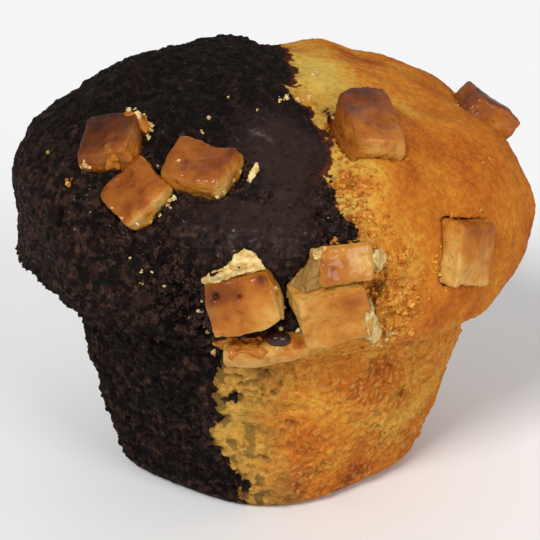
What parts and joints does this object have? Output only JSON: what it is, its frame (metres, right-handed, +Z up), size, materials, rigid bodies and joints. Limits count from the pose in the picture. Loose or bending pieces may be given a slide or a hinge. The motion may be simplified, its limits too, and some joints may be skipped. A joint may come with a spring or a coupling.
{
  "type": "muffin",
  "caption": "Half chocolate, half vanilla muffin with a domed crown, an overhanging lip and caramel chunks, for serving on a plate or tray.",
  "frame": {"origin": "centre of the foot, on the surface that the muffin stands on", "axes": "+Z up through the crown; -Y towards the shown side; +X to the vanilla side"},
  "size_m": [0.0807, 0.0833, 0.0671],
  "materials": {
    "crumb": "matte baked crumb: golden on the right, nearly black chocolate on the left",
    "caramel": "soft gloss baked caramel"
  },
  "bodies": {
    "root": {"crumb": "crumb", "chunk_left_back": "caramel", "chunk_left_inner": "caramel", "chunk_left_front": "caramel", "chunk_front_left": "caramel", "chunk_front_upper": "caramel", "chunk_front_lower": "caramel", "chunk_top_right": "caramel", "chunk_right_back": "caramel", "chunk_right_front": "caramel", "chunk_front_sliver": "caramel", "chunk_back_inner": "caramel", "chunk_back_right": "caramel", "chunk_back_left": "caramel", "chunk_back_low": "caramel"}
  },
  "joints": []
}
